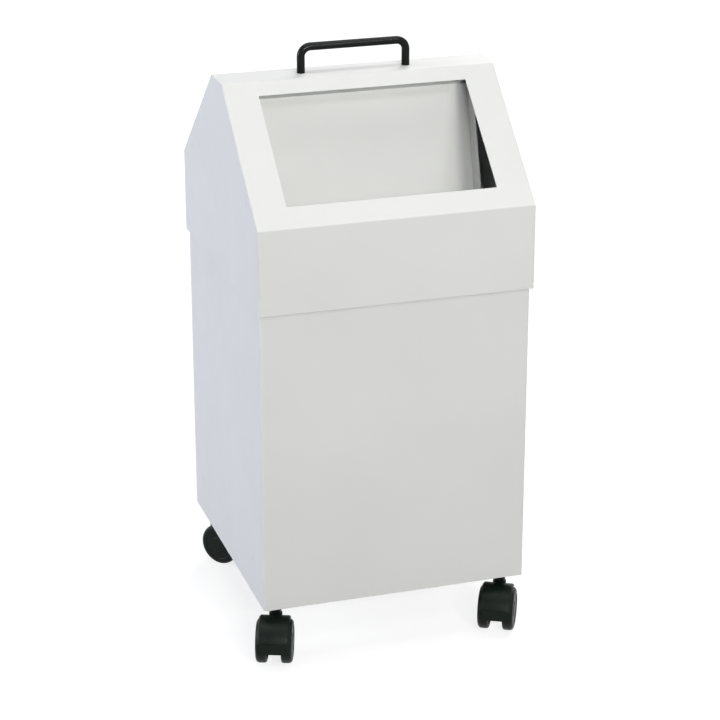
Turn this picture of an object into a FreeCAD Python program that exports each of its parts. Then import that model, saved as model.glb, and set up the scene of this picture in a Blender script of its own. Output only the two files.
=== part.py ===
import FreeCAD, Part
import os
import re

import Sketcher
from FreeCAD import Placement, Rotation, Vector

# A sheet-steel recycling bin on four twin-wheel castors. A house-shaped hood lifts off the body, and
# a folded flap swings behind the slanted mouth in the hood. The floor is z = 0 and the front faces -Y.

# Driving dimensions in millimetres
SIZES = {
    # hood
    "hood_width": 310,
    "hood_depth": 320,
    "skirt_height": 95,
    "gable_rise": 123,
    "ridge_width": 44,
    "sheet": 1,
    "mouth_border": 37.5,
    "mouth_sill": 26.5,
    "mouth_head": 18.5,
    "rest_length": 250,
    "rest_height": 50,
    "rest_foot": 14,
    # body, floor and liner
    "body_height": 420,
    "skirt_overlap": 72,
    "side_gap": 1.5,
    "front_gap": 4,
    "rim_width": 12,
    "floor_rise": 53,
    "pan_flange": 20,
    "liner_clearance": 2.5,
    "liner_drop": 37,
    "liner_sheet": 0.8,
    "liner_rim": 5,
    "grip_width": 95,
    "grip_height": 28,
    "grip_drop": 22,
    # flap and hinge
    "flap_side_gap": 24,
    "flap_length": 153,
    "flap_set": 20.6,
    "flap_top": 5.5,
    "flap_hem": 10,
    "fold_set": 7,
    "fold_drop": 0.5,
    "fold_relief": 8.8,
    "cheek_lead": 4,
    "cheek_set": 2,
    "cheek_neck": 10,
    "ear_radius": 4.5,
    "hinge_drop": 13,
    "hinge_depth": 6.5,
    "rod_radius": 2,
    "rod_end": 3,
    "bracket_sheet": 1.5,
    "bracket_width": 15,
    "bracket_length": 24,
    "bracket_ear": 6,
    "bracket_gap": 0.5,
    "clip_radius": 3.7,
    "clip_sheet": 0.8,
    # handle
    "handle_span": 120,
    "handle_rise": 28.5,
    "handle_radius": 4.5,
    "handle_bend": 10.5,
    "screw_radius": 2.5,
    "screw_grip": 12,
    "screw_head_radius": 4.75,
    "screw_head": 3,
    "screw_slot": 1.2,
    "screw_washer_radius": 6,
    "screw_washer": 1,
    # castor rails and fasteners
    "castor_height": 66,
    "rail_recess": 2,
    "rail_width": 40,
    "rail_height": 22,
    "rail_sheet": 2,
    "stem_inset_side": 19,
    "stem_inset_front": 21.5,
    "shank_radius": 6.5,
    "thread_radius": 5,
    "thread_end": 3,
    "washer_radius": 10,
    "washer_sheet": 2,
    "nut_radius": 9.8,
    "nut_height": 8,
    # castors
    "wheel_radius": 25,
    "wheel_width": 12.5,
    "castor_width": 41,
    "wheel_crown": 4.5,
    "wheel_rim": 3.5,
    "wheel_web": 6.5,
    "wheel_hub": 6,
    "wheel_lip": 1,
    "tread_round": 2.5,
    "cap_recess": 0.7,
    "cap_inner": 9,
    "cap_outer": 18,
    "axle_radius": 3,
    "axle_end": 1,
    "trail": 16,
    "fender_gap": 1.2,
    "fender_sheet": 2.3,
    "fender_width": 35.5,
    "fender_crease": 8,
    "fender_chamfer": 1.8,
    "apron_drop": 11.5,
    "apron_foot": 22,
    "web_width": 13,
    "hub_radius": 9,
    "socket_radius": 7.5,
    "socket_top": 52,
    "socket_depth": 22,
    "socket_floor": 2.5,
    "pin_radius": 4,
    "shoulder_gap": 0.3,
    # fits
    "running_fit": 0.05,
    "bolt_fit": 0.25,
}

# Driving angles in degrees
ANGLES = {
    "flap_lean": 13.7,
    "fender_front": 52,
    "yaw_front_left": 159.5,
    "yaw_front_right": 152,
    "yaw_rear_left": -139,
    "yaw_rear_right": -165,
}
DRIVING = SIZES | ANGLES

# Lengths, levels and angles worked out from the driving values
DERIVED = {
    "body_width": "hood_width - 2 * (sheet + side_gap)",
    "body_depth": "hood_depth - 2 * (sheet + front_gap)",
    "body_top": "castor_height + body_height",
    "floor_z": "castor_height + floor_rise",
    "liner_width": "body_width - 2 * (rim_width + liner_rim + liner_clearance)",
    "liner_depth": "body_depth - 2 * (rim_width + liner_rim + liner_clearance)",
    "liner_top": "body_top - liner_drop",
    "skirt_z": "body_top - skirt_overlap",
    "eave_z": "skirt_z + skirt_height",
    "ridge_z": "eave_z + gable_rise",
    "slope_run": "(hood_depth - ridge_width) / 2",
    "slope_length": "sqrt(slope_run ^ 2 + gable_rise ^ 2)",
    "slope_cos": "slope_run / slope_length",
    "slope_sin": "gable_rise / slope_length",
    "slope_angle": "atan2(gable_rise; slope_run)",
    "mouth_width": "hood_width - 2 * mouth_border",
    "inner_eave_z": "eave_z - sheet * (1 - slope_sin) / slope_cos",
    "inner_ridge_y": "ridge_width / 2 - sheet * (1 - slope_cos) / slope_sin",
    "hinge_y": "(slope_length - hinge_drop) * slope_cos + hinge_depth * slope_sin - hood_depth / 2",
    "hinge_z": "eave_z + (slope_length - hinge_drop) * slope_sin - hinge_depth * slope_cos",
    "flap_half_width": "hood_width / 2 - sheet - flap_side_gap",
    "fold_angle": "atan2(flap_top - fold_drop; flap_set - fold_set)",
    "ear_x": "flap_half_width + bracket_gap",
    "panel_back": "hinge_depth - sheet",
    "rod_half": "ear_x + bracket_sheet + clip_sheet + rod_end",
    "leg_x": "handle_span / 2",
    "grip_z": "ridge_z + handle_rise",
    "screw_seat": "ridge_z - sheet - screw_washer",
    "stem_x": "body_width / 2 - stem_inset_side",
    "stem_y": "body_depth / 2 - stem_inset_front",
    "rail_z": "castor_height + rail_recess",
    "washer_z": "rail_z + rail_sheet",
    "nut_z": "washer_z + washer_sheet",
    "thread_top": "nut_z + nut_height + thread_end",
    "shoulder_z": "socket_top + shoulder_gap",
    "fender_inner": "wheel_radius + fender_gap",
    "fender_outer": "fender_inner + fender_sheet",
    "crease_z": "wheel_radius + fender_crease",
    "web_radius": "fender_inner + fender_sheet / 2",
    "socket_foot": "socket_top - socket_depth - socket_floor",
    "wheel_out": "castor_width / 2",
    "wheel_in": "castor_width / 2 - wheel_width",
    "bore_end": "wheel_out - wheel_web + wheel_lip",
    "axle_half": "bore_end - axle_end",
}

# How far a cutting tool runs past the faces that it opens, and a reach beyond any castor
PAST = 5
FAR = 90

CORNERS = {
    "front_left": (-1, -1),
    "front_right": (1, -1),
    "rear_left": (-1, 1),
    "rear_right": (1, 1),
}

doc = FreeCAD.newDocument("recycling_bin")
sizes = doc.addObject("Spreadsheet::Sheet", "Sizes")
for row, (alias, number) in enumerate(DRIVING.items(), start=1):
    sizes.set(f"A{row}", alias)
    sizes.set(f"B{row}", str(number))
    sizes.setAlias(f"B{row}", alias)
doc.recompute()

nodes = []


def ex(text):
    """The expression for a formula: derived names are written out and driving values refer to the sheet."""
    def swap(match):
        word = match.group()
        if word in DERIVED:
            return "(" + ex(DERIVED[word]) + ")"
        return "Sizes." + word if word in DRIVING else word
    return re.sub(r"[A-Za-z_]+", swap, str(text))


def value(text):
    result = sizes.evalExpression(ex(text))
    return float(getattr(result, "Value", result))


def bind(item, prop, text):
    item.setExpression(prop, ex(text))


def place(item, x="0", y="0", z="0", axis=Vector(0, 0, 1), angle=None):
    """Binds where an item stands, and how far it is turned about an axis."""
    if angle is not None:
        item.Placement = Placement(Vector(), Rotation(axis, value(angle)))
        bind(item, "Placement.Rotation.Angle", angle)
    for letter, text in zip("xyz", (x, y, z)):
        bind(item, f"Placement.Base.{letter}", text)
    return item


def node(item, label):
    """Marks a finished sub-part, which takes its label as its file name."""
    item.Label = label
    nodes.append(item)
    return item


# Part primitives and booleans

def box(name, x, y, z):
    """A block between a low and a high formula along each axis."""
    item = doc.addObject("Part::Box", name)
    for prop, (low, high) in zip(("Length", "Width", "Height"), (x, y, z)):
        bind(item, prop, f"({high}) - ({low})")
    return place(item, x[0], y[0], z[0])


def both(half):
    return (f"-({half})", half)


def side(sign, low, high):
    """The range from low to high, or its mirror image on the negative side."""
    return (low, high) if sign > 0 else (f"-({high})", f"-({low})")


def cylinder(name, radius, low, high, x="0", y="0"):
    item = doc.addObject("Part::Cylinder", name)
    bind(item, "Radius", radius)
    bind(item, "Height", f"({high}) - ({low})")
    return place(item, x, y, low)


def crossbar(name, radius, low, high, y="0", z="0"):
    """A cylinder that lies along X."""
    item = doc.addObject("Part::Cylinder", name)
    bind(item, "Radius", radius)
    bind(item, "Height", f"({high}) - ({low})")
    return place(item, low, y, z, Vector(0, 1, 0), "90")


def cut(name, base, *tools):
    for count, tool in enumerate(tools):
        result = doc.addObject("Part::Cut", f"{name}_cut{count}")
        result.Base = base
        result.Tool = tool
        base = result
    return base


def fuse(name, *items):
    result = doc.addObject("Part::MultiFuse", f"{name}_fuse")
    result.Shapes = list(items)
    return result


def group(name, items):
    result = doc.addObject("Part::Compound", f"{name}_group")
    result.Links = list(items)
    return result


# Part design bodies and sketches

def new_body(name):
    return doc.addObject("PartDesign::Body", name)


def sketch(body, role, offset="0"):
    """A sketch on one of the body's origin planes, moved along the plane's normal."""
    item = body.newObject("Sketcher::SketchObject", f"{body.Name}_sketch")
    plane = next(plane for plane in body.Origin.OriginFeatures if plane.Role == role)
    item.AttachmentSupport = [(plane, "")]
    item.MapMode = "FlatFace"
    bind(item, "AttachmentOffset.Base.z", offset)
    return item


def pin(item, geometry, point, x, y):
    """Ties a sketch point's coordinates to formulas."""
    for kind, text in (("DistanceX", x), ("DistanceY", y)):
        index = item.addConstraint(Sketcher.Constraint(kind, -1, 1, geometry, point, value(text)))
        bind(item, f"Constraints[{index}]", text)


def polygon(item, points):
    corners = [Vector(value(x), value(y), 0) for x, y in points]
    first = item.GeometryCount
    count = len(corners)
    for index, corner in enumerate(corners):
        item.addGeometry(Part.LineSegment(corner, corners[(index + 1) % count]), False)
    for index in range(count):
        following = first + (index + 1) % count
        item.addConstraint(Sketcher.Constraint("Coincident", first + index, 2, following, 1))
    for index, (x, y) in enumerate(points):
        pin(item, first + index, 1, x, y)
    return item


def circle(item, radius, x="0", y="0"):
    centre = Vector(value(x), value(y), 0)
    index = item.addGeometry(Part.Circle(centre, Vector(0, 0, 1), value(radius)), False)
    pin(item, index, 3, x, y)
    constraint = item.addConstraint(Sketcher.Constraint("Radius", index, value(radius)))
    bind(item, f"Constraints[{constraint}]", radius)
    return item


def pad(body, profile, length, symmetric=False):
    feature = body.newObject("PartDesign::Pad", f"{body.Name}_pad")
    feature.Profile = profile
    feature.SideType = "Symmetric" if symmetric else "One side"
    bind(feature, "Length", length)
    return feature


def pocket(body, profile, length, symmetric=True):
    """A cut that has to remove material, so the volume before and after is compared."""
    doc.recompute()
    before = body.Shape.Volume
    feature = body.newObject("PartDesign::Pocket", f"{body.Name}_pocket")
    feature.Profile = profile
    feature.SideType = "Symmetric" if symmetric else "One side"
    bind(feature, "Length", length)
    doc.recompute()
    if not body.Shape.Volume < before:
        raise RuntimeError(f"{feature.Name} cuts nothing")
    return feature


def revolve(body, profile):
    feature = body.newObject("PartDesign::Revolution", f"{body.Name}_revolution")
    feature.Profile = profile
    feature.ReferenceAxis = (profile, ["H_Axis"])
    feature.Angle = 360
    return feature


# Body, floor, liner and castor rails

def body_shell():
    outer = box("shell_outer", both("body_width / 2"), both("body_depth / 2"), ("castor_height", "body_top"))
    inner = box("shell_inner", both("body_width / 2 - sheet"), both("body_depth / 2 - sheet"),
                (f"castor_height - {PAST}", "body_top - sheet"))
    mouth = box("shell_mouth", both("body_width / 2 - rim_width"), both("body_depth / 2 - rim_width"),
                ("body_top - rim_width", f"body_top + {PAST}"))
    node(cut("shell", outer, inner, mouth), "body_shell")


def floor_pan():
    outer = box("pan_outer", both("body_width / 2 - sheet"), both("body_depth / 2 - sheet"),
                ("floor_z - pan_flange", "floor_z"))
    inner = box("pan_inner", both("body_width / 2 - 2 * sheet"), both("body_depth / 2 - 2 * sheet"),
                (f"floor_z - pan_flange - {PAST}", "floor_z - sheet"))
    node(cut("pan", outer, inner), "floor_pan")


def liner():
    outer = box("liner_outer", both("liner_width / 2"), both("liner_depth / 2"), ("floor_z", "liner_top"))
    inner = box("liner_inner", both("liner_width / 2 - liner_sheet"), both("liner_depth / 2 - liner_sheet"),
                ("floor_z + liner_sheet", f"liner_top + {PAST}"))
    flange = box("liner_flange", both("liner_width / 2 + liner_rim"), both("liner_depth / 2 + liner_rim"),
                 ("liner_top - liner_sheet", "liner_top"))
    grips = box("liner_grips", both("liner_width"), both("grip_width / 2"),
                ("liner_top - grip_drop - grip_height", "liner_top - grip_drop"))
    node(cut("liner", fuse("liner_walls", outer, flange), inner, grips), "liner")


def castor_rail(name, sign):
    """A channel across the underside that carries the two stems of one end."""
    wall = "body_depth / 2 - sheet"
    length = both("body_width / 2 - sheet")
    outer = box(f"{name}_outer", length, side(sign, f"{wall} - rail_width", wall),
                ("rail_z", "rail_z + rail_height"))
    inner = box(f"{name}_inner", length,
                side(sign, f"{wall} - rail_width + rail_sheet", f"{wall} - rail_sheet"),
                ("rail_z + rail_sheet", f"rail_z + rail_height + {PAST}"))
    holes = [
        cylinder(f"{name}_hole", "thread_radius + bolt_fit", f"rail_z - {PAST}",
                 f"rail_z + rail_sheet + {PAST}", f"{hand} * stem_x", f"{sign} * stem_y")
        for hand in (-1, 1)
    ]
    node(cut(name, outer, inner, *holes), name)


def stem_fasteners():
    washers = []
    nuts = []
    for hand, end in CORNERS.values():
        spot = (f"{hand} * stem_x", f"{end} * stem_y")
        disc = cylinder("stem_washer_disc", "washer_radius", "washer_z", "nut_z", *spot)
        hole = cylinder("stem_washer_hole", "thread_radius + bolt_fit", f"washer_z - {PAST}",
                        f"nut_z + {PAST}", *spot)
        washers.append(cut("stem_washer", disc, hole))
        prism = doc.addObject("Part::Prism", "stem_nut_prism")
        prism.Polygon = 6
        bind(prism, "Circumradius", "nut_radius")
        bind(prism, "Height", "nut_height")
        place(prism, *spot, "nut_z")
        bore = cylinder("stem_nut_bore", "thread_radius + running_fit", f"nut_z - {PAST}",
                        f"nut_z + nut_height + {PAST}", *spot)
        nuts.append(cut("stem_nut", prism, bore))
    node(group("stem_washer", washers), "stem_washers")
    node(group("stem_nut", nuts), "stem_nuts")


def castor_stem(corner):
    hand, end = CORNERS[corner]
    spot = (f"{hand} * stem_x", f"{end} * stem_y")
    parts = (
        cylinder("stem_pin", "pin_radius", "socket_top - socket_depth + shoulder_gap", "shoulder_z", *spot),
        cylinder("stem_shank", "shank_radius", "shoulder_z", "rail_z", *spot),
        cylinder("stem_thread", "thread_radius", "rail_z", "thread_top", *spot),
    )
    node(fuse(f"stem_{corner}", *parts), f"castor_stem_{corner}")


# Hood

GABLE = [
    ("-hood_depth / 2", "skirt_z"),
    ("-hood_depth / 2", "eave_z"),
    ("-ridge_width / 2", "ridge_z"),
    ("ridge_width / 2", "ridge_z"),
    ("hood_depth / 2", "eave_z"),
    ("hood_depth / 2", "skirt_z"),
]


def hood_wrap():
    """One bent sheet: front skirt, front slope with the mouth, ridge strip, back slope and back skirt."""
    inside = [
        ("hood_depth / 2 - sheet", "skirt_z"),
        ("hood_depth / 2 - sheet", "inner_eave_z"),
        ("inner_ridge_y", "ridge_z - sheet"),
        ("-(inner_ridge_y)", "ridge_z - sheet"),
        ("sheet - hood_depth / 2", "inner_eave_z"),
        ("sheet - hood_depth / 2", "skirt_z"),
    ]
    body = new_body("hood_wrap")
    pad(body, polygon(sketch(body, "YZ_Plane"), GABLE + inside), "hood_width - 2 * sheet", symmetric=True)

    mouth = sketch(body, "XY_Plane", "eave_z")
    mouth.AttachmentOffset = Placement(Vector(), Rotation(Vector(1, 0, 0), value("slope_angle")))
    bind(mouth, "AttachmentOffset.Rotation.Angle", "slope_angle")
    bind(mouth, "AttachmentOffset.Base.y", "-hood_depth / 2")
    sill = "mouth_sill"
    head = "slope_length - mouth_head"
    half = "mouth_width / 2"
    polygon(mouth, [(f"-{half}", sill), (half, sill), (half, head), (f"-{half}", head)])
    pocket(body, mouth, f"2 * (sheet + {PAST})")

    holes = sketch(body, "XY_Plane", "ridge_z")
    for hand in (-1, 1):
        circle(holes, "screw_radius + bolt_fit", f"{hand} * leg_x")
    pocket(body, holes, f"2 * (sheet + {PAST})")
    node(body, "hood_wrap")


def gable(name, offset):
    body = new_body(name)
    pad(body, polygon(sketch(body, "YZ_Plane", offset), GABLE), "sheet")
    node(body, name)


def rest_strip(name, sign):
    """An angle on the gable's inside that stands on the body's rim and carries the hood."""
    wall = "hood_width / 2 - sheet"
    length = both("rest_length / 2")
    leg = box(f"{name}_leg", side(sign, f"{wall} - sheet", wall), length,
              ("body_top", "body_top + rest_height"))
    foot = box(f"{name}_foot", side(sign, f"{wall} - rest_foot", wall), length,
               ("body_top", "body_top + sheet"))
    node(fuse(name, leg, foot), name)


def handle():
    grip = crossbar("handle_grip", "handle_radius", "handle_bend - leg_x", "leg_x - handle_bend", z="grip_z")
    pieces = [grip]
    bores = []
    upright = Rotation(Vector(1, 0, 0), 90)
    turns = {1: upright, -1: upright * Rotation(Vector(0, 0, 1), 90)}
    for hand, turn in turns.items():
        leg_x = f"{hand} * leg_x"
        pieces.append(cylinder("handle_leg", "handle_radius", "ridge_z", "grip_z - handle_bend", leg_x))
        bend = doc.addObject("Part::Torus", "handle_bend")
        bend.Angle3 = 90
        bind(bend, "Radius1", "handle_bend")
        bind(bend, "Radius2", "handle_radius")
        bend.Placement = Placement(Vector(), turn)
        pieces.append(place(bend, f"{hand} * (leg_x - handle_bend)", "0", "grip_z - handle_bend"))
        bores.append(cylinder("handle_bore", "screw_radius + running_fit", f"ridge_z - {PAST}",
                              "ridge_z + screw_grip + running_fit", leg_x))
    node(cut("handle", fuse("handle", *pieces), *bores), "handle")


def handle_fasteners():
    screws = []
    washers = []
    for hand in (-1, 1):
        leg_x = f"{hand} * leg_x"
        shank = cylinder("screw_shank", "screw_radius", "screw_seat", "ridge_z + screw_grip", leg_x)
        head = cylinder("screw_head", "screw_head_radius", "screw_seat - screw_head", "screw_seat", leg_x)
        slot = box("screw_slot", (f"{leg_x} - screw_slot / 2", f"{leg_x} + screw_slot / 2"),
                   both("2 * screw_head_radius"),
                   (f"screw_seat - screw_head - {PAST}", "screw_seat - screw_head / 2"))
        screws.append(cut("screw", fuse("screw", shank, head), slot))
        disc = cylinder("screw_washer_disc", "screw_washer_radius", "screw_seat", "ridge_z - sheet", leg_x)
        hole = cylinder("screw_washer_hole", "screw_radius + bolt_fit", f"screw_seat - {PAST}",
                        "ridge_z", leg_x)
        washers.append(cut("screw_washer", disc, hole))
    node(group("screw", screws), "handle_screws")
    node(group("screw_washer", washers), "handle_washers")


# Flap and hinge

def at_hinge(item, angle):
    """Stands a piece drawn about the hinge axis on that axis, turned about X."""
    return place(item, "0", "hinge_y", "hinge_z", Vector(1, 0, 0), angle)


def hinge_bracket(name, sign):
    """An angle under the front slope, drawn with the slope level, whose ear holds the hinge rod."""
    base = box(f"{name}_base", side(sign, "ear_x", "ear_x + bracket_width"), both("bracket_length / 2"),
               ("panel_back - bracket_sheet", "panel_back"))
    ear = box(f"{name}_ear", side(sign, "ear_x", "ear_x + bracket_sheet"), both("bracket_ear"),
              ("-bracket_ear", "panel_back"))
    hole = crossbar(f"{name}_hole", "rod_radius + running_fit", "-rod_half", "rod_half")
    node(at_hinge(cut(name, fuse(name, base, ear), hole), "slope_angle"), name)


def hinge_rod():
    node(crossbar("hinge_rod", "rod_radius", "-rod_half", "rod_half", "hinge_y", "hinge_z"), "hinge_rod")


def rod_clips():
    clips = []
    for hand in (-1, 1):
        low, high = side(hand, "ear_x + bracket_sheet", "ear_x + bracket_sheet + clip_sheet")
        disc = crossbar("clip_disc", "clip_radius", low, high, "hinge_y", "hinge_z")
        hole = crossbar("clip_hole", "rod_radius + running_fit", "-rod_half", "rod_half",
                        "hinge_y", "hinge_z")
        clips.append(cut("clip", disc, hole))
    node(group("clip", clips), "rod_clips")


def flap():
    """A tray folded from one sheet, drawn upright about the hinge axis and hung at its lean."""
    body = new_body("flap")
    back = "flap_set + sheet"
    foot = "-flap_length"
    bend = "-flap_top - 0.4 * sheet"
    face = sketch(body, "YZ_Plane")
    polygon(face, [
        (back, bend),
        (back, foot),
        ("flap_set - flap_hem", foot),
        ("flap_set - flap_hem", f"{foot} + sheet"),
        ("flap_set", f"{foot} + sheet"),
        ("flap_set", "-flap_top"),
    ])
    pad(body, face, "2 * flap_half_width", symmetric=True)

    fold = sketch(body, "YZ_Plane")
    near = "flap_set - 0.4 * sheet"
    over_y = "fold_set + sheet * sin(fold_angle)"
    over_z = "sheet * cos(fold_angle) - fold_drop"
    polygon(fold, [
        (back, bend),
        (near, f"{over_z} - ({near} - ({over_y})) * tan(fold_angle)"),
        (over_y, over_z),
        ("fold_set", "-fold_drop"),
        ("flap_set", "-flap_top"),
        ("flap_set", "-flap_top - sheet"),
        (back, "-flap_top - sheet"),
    ])
    pad(body, fold, "2 * (flap_half_width - fold_relief)", symmetric=True)

    for offset in ("flap_half_width - sheet", "-flap_half_width"):
        cheek = sketch(body, "YZ_Plane", offset)
        polygon(cheek, [
            (back, bend),
            (back, foot),
            ("-cheek_lead", foot),
            ("cheek_set", "-cheek_neck"),
            ("-ear_radius", "0"),
            ("0", "ear_radius"),
        ])
        pad(body, cheek, "sheet")
        pad(body, circle(sketch(body, "YZ_Plane", offset), "ear_radius"), "sheet")
    hole = circle(sketch(body, "YZ_Plane"), "rod_radius + running_fit")
    pocket(body, hole, f"2 * (flap_half_width + {PAST})")
    node(at_hinge(body, "-flap_lean"), "flap")


# Castors, each drawn about its stem, with the axle and the closed side of the housing trailing towards +Y

def castor_place(item, corner, behind="0", height="0", turn="0"):
    """Stands a piece at a distance behind its stem, turned with the castor."""
    hand, end = CORNERS[corner]
    yaw = f"yaw_{corner}"
    x = f"{hand} * stem_x - ({behind}) * sin({yaw})"
    y = f"{end} * stem_y + ({behind}) * cos({yaw})"
    return place(item, x, y, height, Vector(0, 0, 1), f"{yaw} + {turn}")


def castor_housing(corner):
    name = f"castor_housing_{corner}"
    body = new_body(name)
    axle = ("trail", "wheel_radius")
    fender = sketch(body, "XY_Plane", "wheel_radius")
    bind(fender, "AttachmentOffset.Base.y", "trail")
    edge = "fender_width / 2"
    crown = f"{edge} - fender_chamfer"
    shoulder = "fender_outer - fender_chamfer"
    polygon(fender, [
        (f"-{edge}", "fender_inner"),
        (edge, "fender_inner"),
        (edge, shoulder),
        (crown, "fender_outer"),
        (f"-({crown})", "fender_outer"),
        (f"-{edge}", shoulder),
    ])
    revolve(body, fender)
    open_side = sketch(body, "YZ_Plane")
    polygon(open_side, [
        ("trail", "crease_z"),
        (f"trail + {FAR}", "crease_z"),
        (f"trail + {FAR}", f"-{FAR}"),
        (f"trail - {FAR}", f"-{FAR}"),
        (f"trail - {FAR} * cos(fender_front)", f"crease_z + {FAR} * sin(fender_front)"),
    ])
    pocket(body, open_side, "2 * fender_width")

    apron = sketch(body, "XZ_Plane", "-trail - fender_outer")
    polygon(apron, [
        (f"-({crown})", "crease_z + fender_sheet / 2"),
        (f"-({crown})", "crease_z"),
        ("-apron_foot / 2", "crease_z - apron_drop"),
        ("apron_foot / 2", "crease_z - apron_drop"),
        (crown, "crease_z"),
        (crown, "crease_z + fender_sheet / 2"),
    ])
    pad(body, apron, "fender_sheet")

    web = sketch(body, "YZ_Plane")
    arch = [
        (f"trail + web_radius * cos({angle})", f"wheel_radius + web_radius * sin({angle})")
        for angle in range(30, 150, 30)
    ]
    polygon(web, [
        ("0", "socket_foot"),
        ("trail", "socket_foot"),
        ("trail + fender_inner", "crease_z"),
        *arch,
    ])
    pad(body, web, "web_width", symmetric=True)
    pad(body, circle(sketch(body, "YZ_Plane"), "hub_radius", *axle), "web_width", symmetric=True)
    pad(body, circle(sketch(body, "XY_Plane", "socket_foot"), "socket_radius"), "socket_top - socket_foot")

    stem_bore = circle(sketch(body, "XY_Plane", "socket_top"), "pin_radius + running_fit")
    pocket(body, stem_bore, "2 * socket_depth")
    pocket(body, circle(sketch(body, "YZ_Plane"), "axle_radius + running_fit", *axle), "2 * fender_width")
    node(castor_place(body, corner), name)


def castor_axle(corner):
    name = f"castor_axle_{corner}"
    body = new_body(name)
    pad(body, circle(sketch(body, "YZ_Plane"), "axle_radius"), "2 * axle_half", symmetric=True)
    node(castor_place(body, corner, "trail", "wheel_radius"), name)


def castor_wheel(corner, hand, turn):
    """A cup-shaped wheel with a blind bore, a hollow inner side and a ring pressed into its outer face."""
    name = f"castor_wheel_{corner}_{hand}"
    body = new_body(name)
    bore = "axle_radius + running_fit"
    web = "wheel_out - wheel_web"
    shoulder = [
        (f"wheel_out - wheel_crown * (1 - cos({angle}))", f"wheel_radius - wheel_crown * (1 - sin({angle}))")
        for angle in range(15, 105, 15)
    ]
    inner_edge = [
        (f"wheel_in + tread_round * (1 - sin({angle}))", f"wheel_radius - tread_round * (1 - cos({angle}))")
        for angle in range(0, 120, 30)
    ]
    polygon(sketch(body, "XY_Plane"), [
        ("bore_end", "0"),
        ("wheel_out", "0"),
        ("wheel_out", "cap_inner"),
        ("wheel_out - cap_recess", "cap_inner + cap_recess"),
        ("wheel_out - cap_recess", "cap_outer - cap_recess"),
        ("wheel_out", "cap_outer"),
        *shoulder,
        *inner_edge,
        ("wheel_in", "wheel_radius - wheel_rim"),
        (web, "wheel_radius - wheel_rim"),
        (web, "wheel_hub"),
        ("wheel_in", "wheel_hub"),
        ("wheel_in", bore),
        ("bore_end", bore),
    ])
    revolve(body, body.Group[-1])
    node(castor_place(body, corner, "trail", "wheel_radius", turn), name)


def build():
    body_shell()
    floor_pan()
    liner()
    castor_rail("castor_rail_front", -1)
    castor_rail("castor_rail_rear", 1)
    stem_fasteners()
    hood_wrap()
    gable("gable_left", "-hood_width / 2")
    gable("gable_right", "hood_width / 2 - sheet")
    rest_strip("rest_strip_left", -1)
    rest_strip("rest_strip_right", 1)
    handle()
    handle_fasteners()
    hinge_bracket("hinge_bracket_left", -1)
    hinge_bracket("hinge_bracket_right", 1)
    hinge_rod()
    rod_clips()
    flap()
    for corner in CORNERS:
        castor_stem(corner)
        castor_housing(corner)
        castor_axle(corner)
        castor_wheel(corner, "right", "0")
        castor_wheel(corner, "left", "180")


def export():
    doc.recompute()
    for item in doc.Objects:
        if "Invalid" in item.State or "Error" in item.State:
            raise RuntimeError(f"{item.Name} failed: {item.State}")
    for item in nodes:
        if item.Shape.isNull() or not item.Shape.isValid():
            raise RuntimeError(f"{item.Label} has no valid shape")
    os.makedirs("parts", exist_ok=True)
    for item in nodes:
        item.Shape.exportStep(f"parts/{item.Label}.step")


build()
export()
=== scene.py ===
import math

import bmesh
import bpy
from mathutils import Matrix, Vector


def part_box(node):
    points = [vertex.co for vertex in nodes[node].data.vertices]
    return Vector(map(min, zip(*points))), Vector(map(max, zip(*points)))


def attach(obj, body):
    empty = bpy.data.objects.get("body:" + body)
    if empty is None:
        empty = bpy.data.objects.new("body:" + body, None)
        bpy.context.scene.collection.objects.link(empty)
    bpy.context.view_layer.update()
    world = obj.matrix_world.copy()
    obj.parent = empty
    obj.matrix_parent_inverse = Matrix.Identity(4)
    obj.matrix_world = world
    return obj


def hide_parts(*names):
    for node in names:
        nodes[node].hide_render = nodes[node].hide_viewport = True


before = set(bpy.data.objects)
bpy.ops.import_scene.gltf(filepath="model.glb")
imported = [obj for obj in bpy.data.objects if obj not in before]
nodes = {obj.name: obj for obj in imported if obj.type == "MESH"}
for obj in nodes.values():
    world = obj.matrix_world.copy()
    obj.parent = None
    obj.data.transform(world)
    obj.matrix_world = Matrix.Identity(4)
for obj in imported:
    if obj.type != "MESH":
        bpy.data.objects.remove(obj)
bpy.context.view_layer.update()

# A pale sheet-steel recycling bin on black castors, in metres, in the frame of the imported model.
MM = 0.001
CORNERS = ("front_left", "front_right", "rear_left", "rear_right")
HANDS = ("left", "right")

# Levels and half sizes read from the frame
hood_low, hood_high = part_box("gable_left")
shell_low, shell_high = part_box("body_shell")
floor_pan_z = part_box("floor_pan")[1].z
hood_half_width = -hood_low.x
hood_half_depth = hood_high.y
skirt_z = hood_low.z
ridge_z = hood_high.z

# Sizes of the bent sheets, as in the solids
SHEET = 1 * MM
RIDGE_HALF = 22 * MM
GABLE_RISE = 123 * MM
MOUTH_BORDER = 37.5 * MM
MOUTH_SILL = 26.5 * MM
MOUTH_HEAD = 18.5 * MM
RIM_WIDTH = 12 * MM
RIM_MITRE = 0.4 * MM
eave_z = ridge_z - GABLE_RISE

# Bends and cut edges of those sheets
BEND = 2.2 * MM
BEND_STEPS = 8
STRAIGHT = 0.01
CUT_EDGE = 0.25 * MM
CUT_STEPS = 2
CUT_ANGLE = math.radians(50)
SAME_POINT = 0.001 * MM

# Rounded edges of the solids
JOIN = 0.002 * MM
EDGE_STEPS = 3
EDGE_ANGLE = math.radians(35)
SHEET_EDGE = 0.3 * MM
LINER_EDGE = 0.2 * MM
FASTENER_EDGE = 0.15 * MM
HANDLE_EDGE = 0.2 * MM
STEM_EDGE = 0.3 * MM
HOUSING_EDGE = 0.4 * MM
WHEEL_EDGE = 0.25 * MM
WIDEST_FACE_ONLY = 100

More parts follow.
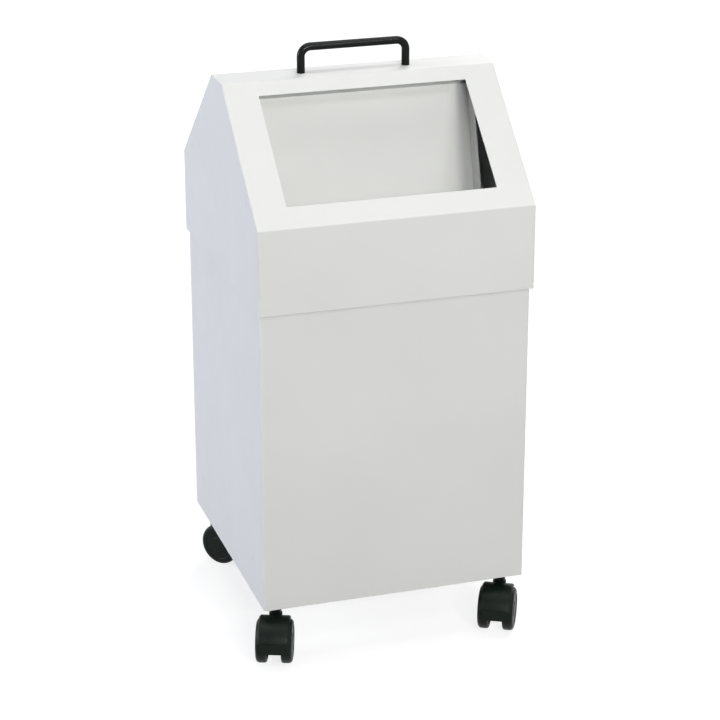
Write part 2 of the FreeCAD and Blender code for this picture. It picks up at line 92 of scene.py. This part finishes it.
# Spot welds hold the rest strips to the gables and the floor pan to the body's sides
WELD_RADIUS = 4.5 * MM
GABLE_WELD_RISE = 113 * MM
GABLE_WELD_Y = (-118 * MM, 116 * MM)
BODY_WELD_DROP = 8 * MM
BODY_WELD_Y = (-110 * MM, 4 * MM, 118 * MM)

# Where the two ends of a mottled colour or grey lie in the noise
MOTTLE_LOW = 0.3
MOTTLE_HIGH = 0.7

# Floor and world
AMBIENT = (0.095, 0.092, 0.102)
FLOOR_HALF = 20.0
FLOOR_DROP = 0.1 * MM
FLOOR_GREY = 0.32
FLOOR_ROUGHNESS = 0.9
GLOW_NEAR, GLOW_FAR = 1.0, 5.0
GLOW_AT_OBJECT, GLOW_AT_BACKDROP = 0.79, 1.0

# Lamps: name, place, aim, width and height, power in watts, colour
MIDDLE = (0.0, 0.0, 0.38)
RIDGE = (0.0, 0.0, 0.66)
LAMPS = (
    ("key_light", (0.22, -3.0, 1.6), MIDDLE, (0.5, 0.35), 33.5, (1.0, 0.997, 0.965)),
    ("fill_light", (-0.42, -3.0, 1.58), MIDDLE, (0.5, 0.35), 25.3, (1.0, 0.997, 0.97)),
    ("top_light", (0.0, -0.1, 3.4), MIDDLE, (2.8, 1.4), 36.5, (1.0, 1.0, 1.0)),
    ("strip_light", (0.75, -1.95, 2.2), RIDGE, (0.42, 0.35), 9.0, (1.0, 1.0, 1.0)),
    ("left_light", (-3.1, 0.7, 1.1), MIDDLE, (1.8, 1.6), 65.5, (0.835, 0.875, 1.0)),
    ("back_light", (2.0, 2.4, 2.2), MIDDLE, (1.8, 1.6), 54.0, (1.0, 0.99, 0.97)),
)

# Camera, with its angles in degrees and its lens and sensor in millimetres
CAMERA_PLACE = (-0.7676, -2.4495, 1.2871)
CAMERA_AZIMUTH = -17.56
CAMERA_ELEVATION = 21.24
CAMERA_LENS = 120.0
CAMERA_SENSOR = 36.0
CAMERA_CLIP = (0.05, 100.0)


# Node trees

def new_material(name):
    material = bpy.data.materials.new(name)
    material.use_nodes = True
    return material, material.node_tree, material.node_tree.nodes["Principled BSDF"]


def add(tree, kind, **settings):
    """A new node. Each setting goes to the node's property of that name, or else to its socket."""
    made = tree.nodes.new(kind)
    for key, value in settings.items():
        if hasattr(made, key):
            setattr(made, key, value)
        else:
            made.inputs[key.replace("_", " ").title()].default_value = value
    return made


def link(tree, source, target):
    tree.links.new(source, target)


def maths(tree, operation, first, second):
    made = add(tree, "ShaderNodeMath", operation=operation)
    link(tree, first, made.inputs[0])
    link(tree, second, made.inputs[1])
    return made.outputs["Value"]


def place_of(tree):
    """Where a point is on its piece, in metres. It stays put when the piece moves."""
    return add(tree, "ShaderNodeTexCoord").outputs["Object"]


def noise(tree, scale, detail, roughness=0.5):
    made = add(tree, "ShaderNodeTexNoise", scale=scale, detail=detail, roughness=roughness)
    link(tree, place_of(tree), made.inputs["Vector"])
    return made.outputs["Fac"]


def ramp(tree, factor, *stops):
    """Maps a factor to colours or greys at the given positions."""
    made = tree.nodes.new("ShaderNodeValToRGB")
    elements = made.color_ramp.elements
    for element, (position, colour) in zip(elements, stops, strict=True):
        element.position = position
        grey = (colour,) * 3 if isinstance(colour, float) else colour
        element.color = (*grey, 1.0)
    link(tree, factor, made.inputs["Fac"])
    return made.outputs["Color"]


def mottle(tree, scale, detail, low, high):
    """Noise between two colours or two greys."""
    return ramp(tree, noise(tree, scale, detail), (MOTTLE_LOW, low), (MOTTLE_HIGH, high))


def blend_colour(tree, mode, factor, first, second):
    """Blends two colours. Each value is a number, a colour or another node's output."""
    made = add(tree, "ShaderNodeMix", data_type="RGBA", blend_type=mode)
    for source, target in ((factor, "Factor"), (first, "A"), (second, "B")):
        socket = next(s for s in made.inputs if s.name == target and s.enabled)
        if isinstance(source, float):
            socket.default_value = source
        elif isinstance(source, tuple):
            socket.default_value = (*source, 1.0)
        else:
            link(tree, source, socket)
    return next(s for s in made.outputs if s.enabled)


def bump(tree, shader, height, distance, strength, under=None):
    """Raises the surface by a height map, over another bump where one is given."""
    made = add(tree, "ShaderNodeBump", strength=strength, distance=distance)
    link(tree, height, made.inputs["Height"])
    if under is not None:
        link(tree, under.outputs["Normal"], made.inputs["Normal"])
    link(tree, made.outputs["Normal"], shader.inputs["Normal"])
    return made


# Materials

def spots(tree, points, radius):
    """A mask that is 1 at the given points and fades to 0 at a radius around them."""
    place = place_of(tree)
    total = None
    for point in points:
        away = add(tree, "ShaderNodeVectorMath", operation="DISTANCE")
        link(tree, place, away.inputs[0])
        away.inputs[1].default_value = point
        fade = add(tree, "ShaderNodeMapRange", interpolation_type="SMOOTHSTEP",
                   from_min=radius, from_max=0.3 * radius)
        link(tree, away.outputs["Value"], fade.inputs["Value"])
        mask = fade.outputs["Result"]
        total = mask if total is None else maths(tree, "MAXIMUM", total, mask)
    return total


def powder_coat(name, marks=()):
    """A grey-white powder coat with fine orange peel, and faint marks where sheets are spot welded."""
    material, tree, shader = new_material(name)
    cloud = mottle(tree, 7.0, 3.0, (0.742, 0.752, 0.738), (0.772, 0.781, 0.766))
    speck = ramp(tree, noise(tree, 1400.0, 1.0), (0.35, 0.965), (0.65, 1.0))
    colour = blend_colour(tree, "MULTIPLY", 0.5, cloud, speck)
    peel = bump(tree, shader, noise(tree, 620.0, 2.0), 0.05 * MM, 0.35)
    if marks:
        mask = spots(tree, marks, WELD_RADIUS)
        stain = ramp(tree, mask, (0.0, 0.0), (1.0, 0.22))
        colour = blend_colour(tree, "MIX", stain, colour, (0.5, 0.52, 0.72))
        dent = ramp(tree, mask, (0.0, 1.0), (1.0, 0.0))
        bump(tree, shader, dent, 0.12 * MM, 0.6, peel)
    link(tree, colour, shader.inputs["Base Color"])
    link(tree, mottle(tree, 45.0, 4.0, 0.40, 0.50), shader.inputs["Roughness"])
    shader.inputs["Specular IOR Level"].default_value = 0.4
    return material


def galvanised(name):
    """Hot-dip zinc with its spangle of crystals."""
    material, tree, shader = new_material(name)
    place = place_of(tree)
    wobble = add(tree, "ShaderNodeTexNoise", scale=120.0, detail=2.0)
    link(tree, place, wobble.inputs["Vector"])
    warp = add(tree, "ShaderNodeVectorMath", operation="MULTIPLY_ADD")
    link(tree, wobble.outputs["Color"], warp.inputs[0])
    warp.inputs[1].default_value = (6 * MM, 6 * MM, 6 * MM)
    link(tree, place, warp.inputs[2])
    cells = add(tree, "ShaderNodeTexVoronoi", scale=95.0, randomness=1.0)
    link(tree, warp.outputs["Vector"], cells.inputs["Vector"])
    grey = add(tree, "ShaderNodeRGBToBW")
    link(tree, cells.outputs["Color"], grey.inputs["Color"])
    crystal = grey.outputs["Val"]
    tone = ramp(tree, crystal, (0.2, (0.50, 0.52, 0.54)), (0.8, (0.68, 0.70, 0.72)))
    grain = mottle(tree, 900.0, 2.0, 0.93, 1.0)
    link(tree, blend_colour(tree, "MULTIPLY", 1.0, tone, grain), shader.inputs["Base Color"])
    link(tree, ramp(tree, crystal, (0.2, 0.46), (0.8, 0.32)), shader.inputs["Roughness"])
    shader.inputs["Metallic"].default_value = 1.0
    bump(tree, shader, crystal, 0.03 * MM, 0.25)
    return material


def bright_zinc(name):
    """Zinc-plated fasteners, rod and axles."""
    material, tree, shader = new_material(name)
    tone = mottle(tree, 260.0, 3.0, (0.56, 0.565, 0.55), (0.68, 0.685, 0.67))
    link(tree, tone, shader.inputs["Base Color"])
    link(tree, mottle(tree, 700.0, 2.0, 0.24, 0.38), shader.inputs["Roughness"])
    shader.inputs["Metallic"].default_value = 1.0
    bump(tree, shader, noise(tree, 1500.0, 1.0), 0.02 * MM, 0.3)
    return material


def black_lacquer(name):
    """The handle's glossy black coat, with a little orange peel."""
    material, tree, shader = new_material(name)
    tone = mottle(tree, 120.0, 3.0, (0.002, 0.0032, 0.0026), (0.004, 0.0054, 0.0046))
    link(tree, tone, shader.inputs["Base Color"])
    link(tree, mottle(tree, 90.0, 3.0, 0.21, 0.25), shader.inputs["Roughness"])
    shader.inputs["Specular IOR Level"].default_value = 0.16
    bump(tree, shader, noise(tree, 480.0, 1.0), 0.02 * MM, 0.08)
    return material


def moulded_black(name):
    """Satin black nylon with a spark-eroded grain and a trace of dust."""
    material, tree, shader = new_material(name)
    tone = mottle(tree, 60.0, 4.0, (0.003, 0.007, 0.005), (0.007, 0.0115, 0.008))
    dust = ramp(tree, noise(tree, 420.0, 6.0, 0.7), (0.52, 0.0), (0.82, 0.05))
    colour = blend_colour(tree, "MIX", dust, tone, (0.16, 0.17, 0.155))
    link(tree, colour, shader.inputs["Base Color"])
    link(tree, mottle(tree, 160.0, 4.0, 0.34, 0.44), shader.inputs["Roughness"])
    shader.inputs["Specular IOR Level"].default_value = 0.12
    bump(tree, shader, noise(tree, 1900.0, 2.0), 0.05 * MM, 0.35)
    return material


def black_steel(name):
    """The castors' black stems."""
    material, tree, shader = new_material(name)
    tone = mottle(tree, 150.0, 4.0, (0.005, 0.006, 0.006), (0.010, 0.011, 0.011))
    link(tree, tone, shader.inputs["Base Color"])
    link(tree, mottle(tree, 300.0, 3.0, 0.30, 0.45), shader.inputs["Roughness"])
    shader.inputs["Specular IOR Level"].default_value = 0.25
    bump(tree, shader, noise(tree, 800.0, 2.0), 0.03 * MM, 0.3)
    return material


def welds(half_width, places, z):
    """The same spots on the left and the right side."""
    return [(hand * half_width, y, z) for hand in (-1, 1) for y in places]


gable_paint = powder_coat("gable_paint", welds(hood_half_width, GABLE_WELD_Y, skirt_z + GABLE_WELD_RISE))
body_paint = powder_coat("body_paint", welds(shell_high.x, BODY_WELD_Y, floor_pan_z - BODY_WELD_DROP))
plain_paint = powder_coat("plain_paint")
zinc_sheet = galvanised("zinc_sheet")
zinc_plate = bright_zinc("zinc_plate")
handle_black = black_lacquer("handle_black")
castor_black = moulded_black("castor_black")
stem_black = black_steel("stem_black")


# Solids carried over from the frame

def bevel_edges(piece, width, steps, angle):
    """Rounds the edges that turn by more than an angle."""
    bevel = piece.modifiers.new("edges", "BEVEL")
    bevel.width = width
    bevel.segments = steps
    bevel.limit_method = "ANGLE"
    bevel.angle_limit = angle
    bevel.use_clamp_overlap = True
    bevel.harden_normals = True


def keep_flat(piece):
    """Lets the light see a wide face as flat up to the narrow bends beside it."""
    even = piece.modifiers.new("flat_faces", "WEIGHTED_NORMAL")
    even.mode = "FACE_AREA"
    even.weight = WIDEST_FACE_ONLY
    even.keep_sharp = True


def dress(name, material, width):
    """Gives a solid its material, joins its faces along their edges and rounds those edges."""
    piece = nodes[name]
    for slot in piece.material_slots:
        slot.material = material
    weld = piece.modifiers.new("join", "WELD")
    weld.merge_threshold = JOIN
    bevel_edges(piece, width, EDGE_STEPS, EDGE_ANGLE)


def dress_frame():
    for name in ("floor_pan", "castor_rail_front", "castor_rail_rear", "rest_strip_left", "rest_strip_right",
                 "hinge_bracket_left", "hinge_bracket_right", "flap", "body_shell", "hood_wrap"):
        dress(name, plain_paint, SHEET_EDGE)
        keep_flat(nodes[name])
    for hand in HANDS:
        dress(f"gable_{hand}", gable_paint, SHEET_EDGE)
    dress("liner", zinc_sheet, LINER_EDGE)
    for name in ("stem_washers", "stem_nuts", "handle_screws", "handle_washers", "hinge_rod", "rod_clips"):
        dress(name, zinc_plate, FASTENER_EDGE)
    dress("handle", handle_black, HANDLE_EDGE)
    for corner in CORNERS:
        dress(f"castor_stem_{corner}", stem_black, STEM_EDGE)
        dress(f"castor_housing_{corner}", castor_black, HOUSING_EDGE)
        dress(f"castor_axle_{corner}", zinc_plate, STEM_EDGE)
        for hand in HANDS:
            dress(f"castor_wheel_{corner}_{hand}", castor_black, WHEEL_EDGE)


# Bent sheets

def rounded(points):
    """The points of a path with an arc at each corner that turns."""
    made = [points[0]]
    for before, corner, after in zip(points, points[1:], points[2:]):
        into = (corner - before).normalized()
        out = (after - corner).normalized()
        turn = into.angle(out)
        if turn < STRAIGHT:
            made.append(corner)
            continue
        start = corner - into * (BEND * math.tan(turn / 2))
        inward = (out - into * into.dot(out)).normalized()
        for step in range(BEND_STEPS + 1):
            angle = turn * step / BEND_STEPS
            ahead = into * (BEND * math.sin(angle))
            aside = inward * (BEND * (1 - math.cos(angle)))
            made.append(start + ahead + aside)
    made.append(points[-1])
    return made


def new_piece(name, build):
    """A piece whose mesh is filled by the given function."""
    mesh = bpy.data.meshes.new(name)
    made = bmesh.new()
    build(made)
    bmesh.ops.remove_doubles(made, verts=made.verts, dist=SAME_POINT)
    bmesh.ops.recalc_face_normals(made, faces=made.faces)
    made.to_mesh(mesh)
    made.free()
    piece = bpy.data.objects.new(name, mesh)
    bpy.context.scene.collection.objects.link(piece)
    return piece


def finish_sheet(piece, body, node, material):
    """Gives a surface its thickness on the inside, rounds its cut edges and lets it stand for a solid."""
    for face in piece.data.polygons:
        face.use_smooth = True
    piece.data.materials.append(material)
    thick = piece.modifiers.new("sheet", "SOLIDIFY")
    thick.thickness = SHEET
    thick.offset = -1.0
    thick.use_even_offset = True
    bevel_edges(piece, CUT_EDGE, CUT_STEPS, CUT_ANGLE)
    keep_flat(piece)
    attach(piece, body)
    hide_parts(node)


def hood_sheet():
    """Front skirt, front slope with the mouth, ridge strip, back slope and back skirt in one bent sheet."""
    foot = Vector((-hood_half_depth, skirt_z))
    eave = Vector((-hood_half_depth, eave_z))
    top = Vector((-RIDGE_HALF, ridge_z))
    uphill = (top - eave).normalized()
    sill = eave + uphill * MOUTH_SILL
    head = top - uphill * MOUTH_HEAD
    flip = Vector((-1, 1))
    path = rounded([foot, eave, sill, head, top, top * flip, eave * flip, foot * flip])
    side = hood_half_width - SHEET
    mouth = hood_half_width - MOUTH_BORDER
    columns = (-side, -mouth, mouth, side)

    def build(made):
        rows = [[made.verts.new((x, y, z)) for x in columns] for y, z in path]
        for low, high, first, second in zip(path, path[1:], rows, rows[1:]):
            for column in range(len(columns) - 1):
                if low == sill and high == head and column == 1:
                    continue
                made.faces.new((first[column], first[column + 1], second[column + 1], second[column]))

    finish_sheet(new_piece("hood_sheet", build), "hood", "hood_wrap", plain_paint)


def body_sheet():
    """Four walls round bent corners, each with a rim folded inward at the top and mitred at its ends."""
    x, y = shell_high.x, shell_high.y
    low, high = shell_low.z, shell_high.z
    fold = rounded([Vector((0, low)), Vector((0, high)), Vector((RIM_WIDTH, high))])
    corners = [Vector((-x, -y)), Vector((x, -y)), Vector((x, y)), Vector((-x, y))]

    def build(made):
        for index, corner in enumerate(corners):
            before, after = corners[index - 1], corners[(index + 1) % len(corners)]
            along = (after - corner).normalized()
            inward = Vector((-along.y, along.x))
            length = (after - corner).length
            rows = []
            for depth, z in fold:
                end = max(BEND, depth + RIM_MITRE)
                places = (corner + along * s + inward * depth for s in (end, length - end))
                rows.append([made.verts.new((*place, z)) for place in places])
            for first, second in zip(rows, rows[1:]):
                made.faces.new((first[0], first[1], second[1], second[0]))
            bend = rounded([before, corner, after])[1:-1]
            columns = [[made.verts.new((*place, z)) for z in (fold[0].y, fold[1].y)] for place in bend]
            for first, second in zip(columns, columns[1:]):
                made.faces.new((first[0], second[0], second[1], first[1]))

    finish_sheet(new_piece("body_sheet", build), "bin", "body_shell", body_paint)


# Room, light and camera

def backdrop_share(tree):
    """1 for the rays that see the backdrop itself: camera, glossy and transmission rays."""
    path = add(tree, "ShaderNodeLightPath")
    total = path.outputs["Is Camera Ray"]
    for name in ("Is Glossy Ray", "Is Transmission Ray"):
        total = maths(tree, "MAXIMUM", total, path.outputs[name])
    return total


def white_world():
    """A dim room that looks white where the backdrop itself is seen."""
    world = bpy.data.worlds.new("studio")
    bpy.context.scene.world = world
    world.use_nodes = True
    tree = world.node_tree
    tree.nodes.clear()
    room = add(tree, "ShaderNodeBackground")
    room.inputs["Color"].default_value = (*AMBIENT, 1.0)
    white = add(tree, "ShaderNodeBackground")
    white.inputs["Color"].default_value = (1.0, 1.0, 1.0, 1.0)
    mix = add(tree, "ShaderNodeMixShader")
    link(tree, backdrop_share(tree), mix.inputs["Fac"])
    link(tree, room.outputs["Background"], mix.inputs[1])
    link(tree, white.outputs["Background"], mix.inputs[2])
    link(tree, mix.outputs["Shader"], add(tree, "ShaderNodeOutputWorld").inputs["Surface"])


def pale_floor(half):
    """A floor that takes the object's shadow and turns into the white backdrop further out."""
    material, tree, shader = new_material("pale_floor")
    shader.inputs["Base Color"].default_value = (FLOOR_GREY, FLOOR_GREY, FLOOR_GREY, 1.0)
    shader.inputs["Roughness"].default_value = FLOOR_ROUGHNESS
    shader.inputs["Specular IOR Level"].default_value = 0.0
    distance = add(tree, "ShaderNodeVectorMath", operation="LENGTH")
    link(tree, place_of(tree), distance.inputs[0])
    level = add(tree, "ShaderNodeMapRange", from_min=GLOW_NEAR, from_max=GLOW_FAR,
                to_min=GLOW_AT_OBJECT, to_max=GLOW_AT_BACKDROP)
    link(tree, distance.outputs["Value"], level.inputs["Value"])
    glow = add(tree, "ShaderNodeEmission")
    seen = maths(tree, "MULTIPLY", level.outputs["Result"], backdrop_share(tree))
    link(tree, seen, glow.inputs["Strength"])
    both = add(tree, "ShaderNodeAddShader")
    link(tree, shader.outputs["BSDF"], both.inputs[0])
    link(tree, glow.outputs["Emission"], both.inputs[1])
    link(tree, both.outputs["Shader"], tree.nodes["Material Output"].inputs["Surface"])
    mesh = bpy.data.meshes.new("floor")
    corners = [(-half, -half, 0), (half, -half, 0), (half, half, 0), (-half, half, 0)]
    mesh.from_pydata(corners, [], [(0, 1, 2, 3)])
    mesh.materials.append(material)
    floor = bpy.data.objects.new("floor", mesh)
    floor.location.z = -FLOOR_DROP
    bpy.context.scene.collection.objects.link(floor)


def soft_box(name, place, aim, size, power, colour):
    lamp = bpy.data.lights.new(name, "AREA")
    lamp.shape = "RECTANGLE"
    lamp.size, lamp.size_y = size
    lamp.energy = power
    lamp.color = colour
    made = bpy.data.objects.new(name, lamp)
    made.location = place
    made.rotation_euler = (Vector(aim) - Vector(place)).to_track_quat("-Z", "Y").to_euler()
    bpy.context.scene.collection.objects.link(made)


def photo_camera():
    """A camera that looks from the photo's side, level and without shift."""
    data = bpy.data.cameras.new("photo_camera")
    data.sensor_width = CAMERA_SENSOR
    data.lens = CAMERA_LENS
    data.clip_start, data.clip_end = CAMERA_CLIP
    camera = bpy.data.objects.new("photo_camera", data)
    a, e = math.radians(CAMERA_AZIMUTH), math.radians(CAMERA_ELEVATION)
    back = Vector((math.sin(a) * math.cos(e), -math.cos(a) * math.cos(e), math.sin(e)))
    right = Vector((math.cos(a), math.sin(a), 0.0))
    up = back.cross(right)
    turn = Matrix((right, up, back)).transposed().to_4x4()
    camera.matrix_world = Matrix.Translation(CAMERA_PLACE) @ turn
    bpy.context.scene.collection.objects.link(camera)
    bpy.context.scene.camera = camera


dress_frame()
hood_sheet()
body_sheet()
white_world()
pale_floor(FLOOR_HALF)
for lamp_row in LAMPS:
    soft_box(*lamp_row)
photo_camera()
bpy.context.scene.view_settings.view_transform = "Standard"

bpy.context.view_layer.update()
